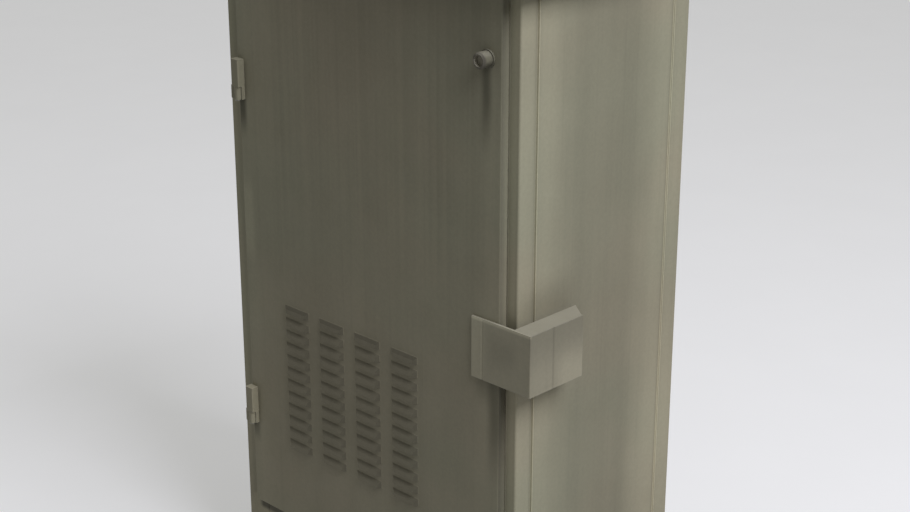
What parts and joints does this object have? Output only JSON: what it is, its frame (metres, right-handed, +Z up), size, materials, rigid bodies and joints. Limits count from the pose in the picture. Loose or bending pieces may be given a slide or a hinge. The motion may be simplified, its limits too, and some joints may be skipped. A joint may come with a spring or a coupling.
{
  "type": "street cabinet",
  "caption": "Free-standing sheet-steel street cabinet with a louvred hinged door, turning lock knob, wrap-round padlock guard, hipped roof and bolt-down plinth, with a mounting plate inside.",
  "frame": {"origin": "on the ground, in the middle of the four anchor holes of the plinth", "axes": "+Z up, the door faces -Y, +X to the right as seen from the door"},
  "size_m": [0.838, 0.5195, 1.405],
  "materials": {
    "body_paint": "weathered matt grey-beige paint",
    "door_paint": "weathered matt grey-beige paint with rain streaks",
    "plinth_paint": "weathered matt paint, dirtier near the ground",
    "guard_paint": "matt grey-beige paint, paler than the body",
    "hinge_metal": "painted cast steel with rubbed edges",
    "lock_metal": "painted turned metal, rubbed",
    "galvanised": "dull zinc-coated sheet",
    "zinc": "plated steel",
    "seal_rubber": "matt black rubber",
    "filter_fleece": "dusty grey filter fleece",
    "switch_plastic": "light grey moulding",
    "handle_plastic": "black moulding",
    "terminal_plastic": "beige-grey moulding",
    "stand_plastic": "dark insulating moulding",
    "earth_brass": "dull brass"
  },
  "bodies": {
    "cabinet": {"plinth_rear": "plinth_paint", "plinth_front": "plinth_paint", "plinth_right": "plinth_paint", "plinth_left": "plinth_paint", "floor_tray": "galvanised", "gland_plate": "galvanised", "cable_seal_rear": "seal_rubber", "cable_seal_front": "seal_rubber", "front_right_post": "body_paint", "front_left_post": "body_paint", "rear_right_post": "body_paint", "rear_left_post": "body_paint", "door_sill": "body_paint", "door_header": "body_paint", "right_side_panel": "body_paint", "left_side_panel": "body_paint", "rear_panel": "body_paint", "top_panel": "galvanised", "roof_rail_right": "galvanised", "roof_rail_left": "galvanised", "roof": "body_paint", "mount_rail_right": "galvanised", "mount_rail_left": "galvanised", "mounting_plate": "galvanised", "upper_din_rail": "zinc", "lower_din_rail": "zinc", "main_switch_body": "switch_plastic", "earth_bar": "earth_brass", "earth_stand_left": "stand_plastic", "earth_stand_right": "stand_plastic", "earth_screws": "zinc", "cable_clamp_rail": "galvanised", "upper_hinge_frame_leaf": "hinge_metal", "lower_hinge_frame_leaf": "hinge_metal", "upper_hinge_pin": "zinc", "lower_hinge_pin": "zinc", "padlock_staple": "guard_paint", "terminal_1": "terminal_plastic", "terminal_2": "terminal_plastic", "terminal_3": "terminal_plastic", "terminal_4": "terminal_plastic", "terminal_5": "terminal_plastic"},
    "door": {"door_panel": "door_paint", "door_stiffener_left": "door_paint", "door_stiffener_right": "door_paint", "filter_frame": "galvanised", "filter_mat": "filter_fleece", "door_seal": "seal_rubber", "upper_hinge_door_leaf": "hinge_metal", "lower_hinge_door_leaf": "hinge_metal", "lock_housing": "lock_metal", "lock_nut": "zinc", "lock_guard": "guard_paint", "padlock_lug": "guard_paint"},
    "lock": {"lock_knob": "lock_metal", "lock_cam": "zinc", "cam_screw": "zinc"},
    "switch": {"main_switch_handle": "handle_plastic"}
  },
  "joints": [
    {"name": "door_hinge", "type": "hinge", "parent": "cabinet", "child": "door", "pos_m": [-0.3205, -0.246, 0.7375], "axis": [0, 0, -1], "range_deg": [0, 120]},
    {"name": "lock_turn", "type": "hinge", "parent": "door", "child": "lock", "pos_m": [0.319, -0.238, 1.223], "axis": [0, -1, 0], "range_deg": [0, 90]},
    {"name": "switch_turn", "type": "hinge", "parent": "cabinet", "child": "switch", "pos_m": [-0.15, 0.1, 1.04], "axis": [0, -1, 0], "range_deg": [0, 90]}
  ]
}
